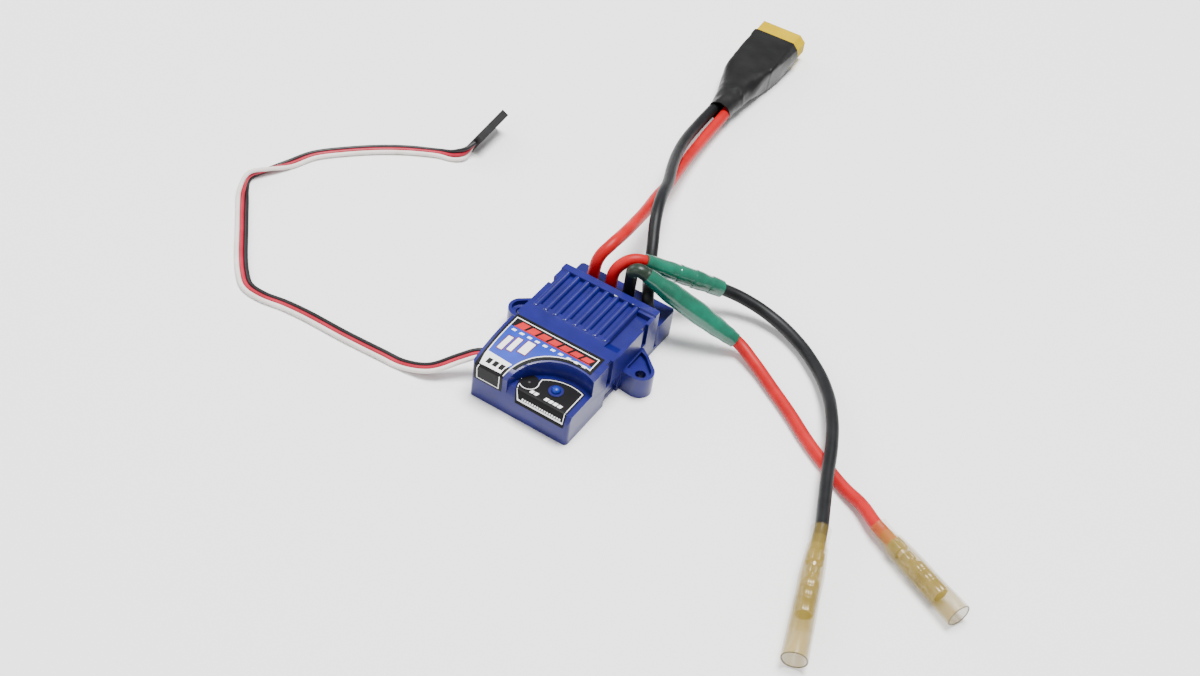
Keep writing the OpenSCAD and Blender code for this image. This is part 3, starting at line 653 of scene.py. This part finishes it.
def make_boot():
    """Heat-shrink and tape boot: grips the connector, then gathers down to the two leads."""
    count, steps = BOOT_SIDES, BOOT_STEPS
    a, b, t, u, v = axis_frame(BOOT)
    length = (b - a).length
    rings = []
    for i in range(steps + 1):
        s = i / steps
        wide_left, wide_right = MOUTH_HALF + FLARE * ease(s / 0.55), MOUTH_HALF + FLARE * s
        half_z = MOUTH_HALF_Z + FLARE_Z * ease(s / 0.5)
        corner = 2.0 + 12.0 * ease((s - 0.3) / 0.6)
        ring = []
        for x, z in rounded_section(1.0, half_z, corner, count):
            x *= wide_right if x > 0 else wide_left
            # the two cut corners on the right, as on the connector
            cut = max(0.0, (x - 7.4) + (abs(z) - 3.4)) * ease((s - 0.5) / 0.4)
            x, z = x - cut * 0.5, z - math.copysign(cut * 0.5, z)
            place = Vector((x * 0.22, s * 6.0, z * 0.22))
            fold = 0.42 * noise.noise(place) + 0.20 * noise.noise(place * 2.3 + Vector((7, 0, 0)))
            # the edge of the last wrap, and a crease near the mouth
            edge = 0.74 + 0.05 * math.sin(x * 0.5 + 1) - 0.02 * x
            lip = 0.22 * max(0.0, min(1.0, (s - edge) * 60))
            crease = 0.20 * max(0.0, 1 - abs(s - 0.22 - 0.03 * math.sin(x * 0.9)) * 30)
            shrink = 1 + (fold * (1 - 0.6 * s) + lip + crease - 0.42) / max(wide_left, 5)
            ring.append(a + t * length * s + u * x * shrink * MM + v * z * shrink * MM)
        rings.append(ring)
    rings.insert(0, [a + (p - a) * 0.87 for p in rings[0]])
    inner = [a + t * MOUTH_DEPTH * MM + (p - a) * 0.82 for p in rings[1]]
    verts, faces = loft([inner] + rings)
    mesh = mesh_from("battery_boot_shrink", verts, faces, [MAT["shrink"]], None, 60)
    outward(mesh)
    return keep("battery_boot_shrink", mesh, "heat_shrink", "battery_boot")


def rounded_copy(name, node, finish, slot, width, segments=3, angle=32.0, body="root"):
    """A copy of a CAD piece with its sharp moulded edges rounded off."""
    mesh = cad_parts[node].data.copy()
    mesh.name = name
    mesh.materials.clear()
    mesh.materials.append(MAT[finish])
    bm = bmesh.new()
    bm.from_mesh(mesh)
    bmesh.ops.remove_doubles(bm, verts=bm.verts, dist=1e-6)
    bmesh.ops.dissolve_limit(bm, angle_limit=math.radians(1.0), verts=bm.verts, edges=bm.edges)
    bm.to_mesh(mesh)
    bm.free()
    obj = keep(name, mesh, slot, node, body=body)
    bevel = obj.modifiers.new("moulded_edges", "BEVEL")
    bevel.width = width * MM
    bevel.segments = segments
    bevel.limit_method = "ANGLE"
    bevel.angle_limit = math.radians(angle)
    bevel.miter_outer = "MITER_ARC"
    bevel.use_clamp_overlap = True
    smooth(mesh, 30)
    return obj


# ---------------------------------------------------------------- labels

CASE_H, DOME_R, DOME_Y, FRONT_TOP = 15.5, 43.4, 16.0, 12.1
RECESS_C, RECESS_Z, RECESS_FRONT = (9.5, -1.2), 10.0, 7.3
LABEL_T, INK = 0.14, 0.02  # thickness of the film, and of each printed layer on it
MAIN_BORDER, CONTROL_BORDER = 0.28, 0.22
CONTROL_STEP = 0.65
FRONT_BEND, SLOPE_TOP = 0.5, 1.3  # where the labels turn over the front edge


def roof_point(x, s, lift):
    """A point on the main label: s below zero is on the front face, above zero on the roof."""
    if s < 0:
        return at(x, -lift, FRONT_TOP + s)
    y = s
    z = CASE_H - DOME_R + math.sqrt(DOME_R ** 2 - (DOME_Y - y) ** 2) if y < DOME_Y else CASE_H
    if s < FRONT_BEND:
        z = FRONT_TOP + (z - FRONT_TOP) * (s / FRONT_BEND)
        return at(x, s - lift * (1 - s / FRONT_BEND), z + lift * (s / FRONT_BEND))
    return at(x, y, z + lift)


def recess_point(x, s, lift):
    """A point on the control label: flat on the recess floor, sloping down before SLOPE_TOP."""
    if s < SLOPE_TOP:
        z = RECESS_Z + (s - SLOPE_TOP) * (RECESS_Z - RECESS_FRONT) / SLOPE_TOP
        return at(x, s - lift, z + lift * 0.5)
    return at(x, s, RECESS_Z + lift)


def decal(name, outline, finish, lift, point, slot, thick=0.03, step=0.8):
    """A thin printed patch: a loop of (x, s) in mm, bent over the surface that point gives."""
    bm = bmesh.new()
    face = bm.faces.new([bm.verts.new((x, s, 0)) for x, s in outline])
    bmesh.ops.triangulate(bm, faces=[face])
    low = min(s for _, s in outline)
    high = max(s for _, s in outline)
    cuts = [low + step * k for k in range(1, int((high - low) / step) + 1)]
    cuts += [0.0, FRONT_BEND, SLOPE_TOP]
    for cut in cuts:
        if low < cut < high:
            bmesh.ops.bisect_plane(bm, geom=bm.verts[:] + bm.edges[:] + bm.faces[:],
                                   plane_co=(0, cut, 0), plane_no=(0, 1, 0))
    made = bmesh.ops.extrude_face_region(bm, geom=bm.faces[:])
    raised = {v for v in made["geom"] if isinstance(v, bmesh.types.BMVert)}
    for v in bm.verts:
        x, s = v.co.x, v.co.y
        v.co = point(x, s, lift + (thick if v in raised else 0.0))
    bmesh.ops.recalc_face_normals(bm, faces=bm.faces)
    mesh = bpy.data.meshes.new(name)
    bm.to_mesh(mesh)
    bm.free()
    mesh.materials.append(MAT[finish])
    smooth(mesh, 40)
    return keep(name, mesh, slot)


def arc(centre, radius, start, stop, count=28):
    """Points on an arc, angles in degrees."""
    return [
        (centre[0] + radius * math.cos(math.radians(start + (stop - start) * k / count)),
         centre[1] + radius * math.sin(math.radians(start + (stop - start) * k / count)))
        for k in range(count + 1)]


def arc_angle(radius, x):
    """Angle at which an arc round the recess centre reaches x."""
    return math.degrees(math.acos((x - RECESS_C[0]) / radius))


MAIN_LEFT, MAIN_RIGHT, MAIN_TOP, MAIN_FOOT, TAB_RIGHT = -14.05, 12.55, 18.85, -4.35, -6.6
MAIN_ARC_R = 15.4


def main_outline(inset):
    """The label's shape inside its border: an arched cut for the recess, a tab over the front."""
    r = MAIN_ARC_R + inset
    right, left, tab = MAIN_RIGHT - inset, MAIN_LEFT + inset, TAB_RIGHT - inset
    low = arc_angle(r, right)
    high = 180 - math.degrees(math.asin((0.3 - RECESS_C[1]) / r))
    tab_side = [(tab, 0.2), (tab, MAIN_FOOT + inset)]
    left_side = [
        (left + 0.25, MAIN_FOOT + inset), (left + 0.05, -1.0), (left + 0.5, 0.4), (left, 3.4),
        (left, MAIN_TOP - inset)]
    return [(right, MAIN_TOP - inset)] + arc(RECESS_C, r, low, high) + tab_side + left_side


def slanted(x0, x1, s0, s1, lean):
    """A four-sided bar whose upper edge leans over."""
    return [(x0, s0), (x1, s0), (x1 + lean, s1), (x0 + lean, s1)]


EMBLEM_BARS = [(-12.4, 6.6, 11.6, 1.5), (-9.9, 7.4, 12.4, 1.5), (-7.0, 8.4, 13.0, 2.4)]


def make_main_label():
    """Bordered film: a blue field, a white band, a red wedge, and plain bars, dashes and marks."""
    def put(name, outline, finish, layer):
        decal(name, outline, finish, LABEL_T + layer * INK, roof_point, "main_label_film", INK)

    put("label_line", main_outline(0), "white_ink", 0)
    put("label_ground", main_outline(MAIN_BORDER), "black_film", 1)
    field = MAIN_ARC_R + MAIN_BORDER
    left, right = MAIN_LEFT + MAIN_BORDER, MAIN_RIGHT - MAIN_BORDER
    top = MAIN_TOP - 3.6
    blue = ([(right, top)] + arc(RECESS_C, field, arc_angle(field, right), arc_angle(field, -5.6))
            + [(left, 4.6), (left, top)])
    put("label_field", blue, "blue_ink", 2)
    band = [(-5.75, 4.2), (-6.75, 2.1), (TAB_RIGHT - 0.3, 0.6), (left + 0.45, 0.45), (left, 3.3),
            (left, 4.6)]
    put("label_band", band, "white_ink", 3)
    # a swept red wedge of slanted bars
    for i in range(7):
        x = left + 1.2 + i * 3.45
        bar = slanted(x, x + 2.7, top + 0.35 + 0.05 * i, MAIN_TOP - 0.9 - 0.06 * i, 0.9)
        put(f"label_sweep_{i}", bar, "red_ink", 3)
    line = slanted(left + 0.9, right - 1.0, top + 0.1, top + 0.32, 0.1)
    put("label_sweep_line", line, "red_ink", 3)
    for i in range(10):
        x = left + 1.1 + i * 2.5
        put(f"label_dash_{i}", slanted(x, x + 1.2, top - 1.5, top - 0.75, 0.25), "white_ink", 3)
    # an emblem of three leaning bars with a dark edge
    for i, (x, low, high, width) in enumerate(EMBLEM_BARS):
        rim = slanted(x - 0.28, x + width + 0.28, low - 0.28, high + 0.28, 0.5)
        put(f"emblem_edge_{i}", rim, "maroon_ink", 3)
        put(f"emblem_bar_{i}", slanted(x, x + width, low, high, 0.5), "white_ink", 4)
    for i in range(3):
        x = left + 1.3 + i * 2.0
        put(f"band_mark_{i}", slanted(x, x + 1.35, 1.4, 3.0, 0.3), "black_film", 4)


BUTTON, LIGHT, LIGHT_R = (7.1, 6.6), (-0.4, 5.1), 2.05
CONTROL_ARC_R = 12.0


def control_outline(inset):
    """The control label's shape inside its border: an arch with a round notch for the light."""
    r = CONTROL_ARC_R - inset
    right, left = 13.5 - inset, -2.0 + inset
    notch_r = LIGHT_R + 0.5 + inset
    notch = arc(LIGHT, notch_r, 30 - inset * 8, -190 + inset * 8, 22)
    join = arc_angle(r, 1.75 + inset)
    foot = [
        (right, 1.2), (right + 0.3, inset), (left + 1.4, inset), (left + 0.3, 1.2),
        (left - 0.2, 2.4), (left - 0.5, 3.9)]
    return foot + notch[::-1] + arc(RECESS_C, r, join, arc_angle(r, right))


CONTROL_MARKS = [(1.6, 1.0), (2.9, 1.0), (6.1, 1.1), (7.5, 1.1), (8.9, 1.1), (10.3, 1.1)]
MARK_LIFT = LABEL_T + 0.05


def make_control_label():
    """Black film round the button and the light, with a thin line, marks and a row of ticks."""
    def put(name, outline, finish, lift, thick=INK, step=0.8):
        return decal(name, outline, finish, lift, recess_point, "control_label_film", thick, step)

    film_shape = put("control_film", control_outline(-0.4), "black_film", 0.01, LABEL_T - 0.01,
                     CONTROL_STEP)
    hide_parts("control_label")
    put("control_film_light", arc(LIGHT, LIGHT_R + 0.75, 0, 351, 39), "black_film", 0.01,
        LABEL_T - 0.015, CONTROL_STEP)
    put("control_line", control_outline(0), "white_ink", LABEL_T, INK, CONTROL_STEP)
    put("control_ground", control_outline(CONTROL_BORDER), "black_film", LABEL_T + INK, 0.03,
        CONTROL_STEP)
    for i, (x, width) in enumerate(CONTROL_MARKS):
        put(f"control_mark_{i}", slanted(x, x + width, 2.0, 3.1, 0.25), "white_ink", MARK_LIFT)
    for i in range(16):
        x = 0.6 + i * 0.78
        put(f"control_tick_{i}", slanted(x, x + 0.5, 0.28, 0.5, 0.05), "white_ink", MARK_LIFT)


# ---------------------------------------------------------------- small case parts

def lathe(name, centre, profile, count, finish, slot, node=None, body="root"):
    """A round form standing on centre: profile is (radius, height) in mm, axis to axis."""
    rings = []
    for r, z in profile:
        rings.append([
            centre + Vector((r * math.cos(2 * math.pi * k / count),
                             r * math.sin(2 * math.pi * k / count), z)) * MM
            for k in range(count)])
    verts, faces = loft(rings)
    mesh = mesh_from(name, verts, faces, [MAT[finish]], None, 40)
    outward(mesh)
    return keep(name, mesh, slot, *([node] if node else []), body=body)


def make_button():
    """Rubbery dome on a stem, with a flange that sits under the recess floor."""
    dome = [(1.25 * math.cos(a), 10.75 + 0.85 * math.sin(a))
            for a in (math.radians(9 * k) for k in range(1, 10))]
    profile = [(0.02, 7.4), (1.9, 7.4), (1.95, 7.5), (1.95, 7.95), (1.9, 8.0), (1.27, 8.0),
               (1.25, 8.1), (1.25, 10.75)]
    lathe("set_button_dome", at(*BUTTON, 0), profile + dome + [(0.02, 11.6)], 40, "button",
          "button_plastic", "set_button", "button")


def make_light():
    """Smoked round window with a small grey disc lying on its top: a painted glint."""
    profile = [(0.02, 8.6), (2.02, 8.6), (2.03, 10.0), (1.95, 10.08), (1.2, 10.1), (0.02, 10.1)]
    lathe("light_window", at(*LIGHT, 0), profile, 40, "window", "clear_window")
    # the painted glint disc, lying on the window's top face
    spot = [(0.02, 10.1), (0.75, 10.1), (0.7, 10.13), (0.02, 10.14)]
    lathe("painted_window_glint", at(*LIGHT, 0), spot, 24, "glint", "led_body")


# the two painted glint discs: their profile and places on the rear bar
MARK_PROFILE = [(0.02, 15.3), (0.62, 15.3), (0.6, 15.49), (0.4, 15.499), (0.02, 15.499)]
MARK_AT = [(2.4, 43.5), (8.0, 43.8)]


def painted_glint_marks():
    """Two small bright discs on the rear bar: painted glints."""
    for i, (x, y) in enumerate(MARK_AT):
        lathe(f"painted_glint_mark_{i}", at(x, y, 0), MARK_PROFILE, 16, "glint_mark", "case_plastic")


# ---------------------------------------------------------------- stage

def area_light(name, place, target, size, power):
    """A white rectangular light at place, turned towards target; metres and watts."""
    data = bpy.data.lights.new(name, "AREA")
    data.shape = "RECTANGLE"
    data.size, data.size_y = size
    data.energy = power
    obj = bpy.data.objects.new(name, data)
    obj.location = place
    obj.rotation_euler = (Vector(target) - Vector(place)).to_track_quat("-Z", "Y").to_euler()
    SCENE.collection.objects.link(obj)


FLOOR_HALF, FLOOR_COLOUR, FLOOR_ROUGHNESS = 4.0, (0.93, 0.93, 0.93), 0.6
SKY_STRENGTH = 0.55
LIGHTS = [  # name, place, target, size, power
    ("key", (0.05, 0.2, 1.15), (0, 0.05, 0), (0.5, 0.5), 34.0),
    ("fill", (-0.3, -0.8, 0.6), (0, 0, 0), (0.7, 0.7), 4.0),
    ("side", (-0.9, 0.1, 0.5), (0, 0, 0.01), (0.5, 0.5), 4.0),
]


def make_stage():
    """A wide pale floor, an even sky and three soft lights."""
    size = FLOOR_HALF
    mesh = bpy.data.meshes.new("floor")
    corners = [(-size, -size, 0), (size, -size, 0), (size, size, 0), (-size, size, 0)]
    mesh.from_pydata(corners, [], [(0, 1, 2, 3)])
    floor = bpy.data.objects.new("floor", mesh)
    mat, _, _, shader = new_material("pale_floor")
    shader.inputs["Base Color"].default_value = (*FLOOR_COLOUR, 1)
    shader.inputs["Roughness"].default_value = FLOOR_ROUGHNESS
    mesh.materials.append(mat)
    SCENE.collection.objects.link(floor)
    world = bpy.data.worlds.new("studio")
    world.use_nodes = True
    world.node_tree.nodes["Background"].inputs["Color"].default_value = (1, 1, 1, 1)
    world.node_tree.nodes["Background"].inputs["Strength"].default_value = SKY_STRENGTH
    SCENE.world = world
    for light in LIGHTS:
        area_light(*light)


# ---------------------------------------------------------------- assembly

LEADS = [
    ("battery_lead_red", BATTERY_RED, LEAD_D, "red"),
    ("battery_lead_black", BATTERY_BLACK, LEAD_D, "black"),
    ("motor_lead_red", MOTOR_RED, LEAD_D, "red"),
    ("motor_lead_black", MOTOR_BLACK, LEAD_D, "black"),
    ("extension_red", EXTENSION_RED, EXTENSION_D, "red"),
    ("extension_black", EXTENSION_BLACK, EXTENSION_D, "black"),
]
# (share of the tape's length, radius) and (share at which a layer starts, its height), in mm
TAPE_REAR_PROFILE = [
    (0, 2.2), (0.08, 2.35), (0.3, 2.5), (0.5, 2.5), (0.7, 2.3), (0.85, 2.05), (1, 1.85)]
TAPE_REAR_LAYERS = [(0.02, 0.05), (0.42, 0.22), (0.62, 0.2), (0.84, 0.14)]
TAPE_FRONT_PROFILE = [
    (0, 1.9), (0.12, 1.98), (0.22, 2.3), (0.4, 2.9), (0.62, 3.12), (0.8, 2.75), (0.92, 2.3),
    (1, 2.05)]
TAPE_FRONT_LAYERS = [(0.14, 0.14), (0.95, -0.05)]


def make_leads():
    """Every cord with the pieces on it."""
    red, black, motor_red, motor_black, ext_red, ext_black = [
        lead(f"{node}_wire", route, diameter, f"{colour}_wire", f"{colour}_silicone", node)
        for node, route, diameter, colour in LEADS]
    boot = make_boot()
    connector = rounded_copy("battery_connector_body", "battery_connector", "yellow",
                             "connector_yellow", 0.5)
    rounded_copy("signal_plug_body", "signal_plug", "plug", "plug_plastic", 0.18)
    tape_rear = make_tape("splice_tape_rear_wrap", TAPE_REAR_LINE, TAPE_REAR_PROFILE,
                          TAPE_REAR_LAYERS, "splice_tape_rear", 0.2, 0)
    tape_front = make_tape("splice_tape_front_wrap", TAPE_FRONT_LINE, TAPE_FRONT_PROFILE,
                           TAPE_FRONT_LAYERS, "splice_tape_front", 0.7, 0.15)
    sleeve_left = make_sleeve("clear_sleeve_left_tube", SLEEVE_LEFT, "clear_sleeve_left", 0.0)
    sleeve_right = make_sleeve("clear_sleeve_right_tube", SLEEVE_RIGHT, "clear_sleeve_right", 3.0)
    crimp_left = make_receptacle("bullet_receptacle_left_crimp", SLEEVE_LEFT,
                                 "bullet_receptacle_left")
    crimp_right = make_receptacle("bullet_receptacle_right_crimp", SLEEVE_RIGHT,
                                  "bullet_receptacle_right")
    make_ribbon()


def make_case():
    """The case, its labels, button and light window."""
    finish_nodes()
    rounded_copy("upper_housing_shell", "upper_housing", "blue", "case_plastic", 0.35)
    rounded_copy("base_tray_shell", "base_tray", "tray", "case_plastic", 0.3)
    make_main_label()
    make_control_label()
    make_button()
    make_light()
    painted_glint_marks()


make_leads()
make_case()
make_stage()
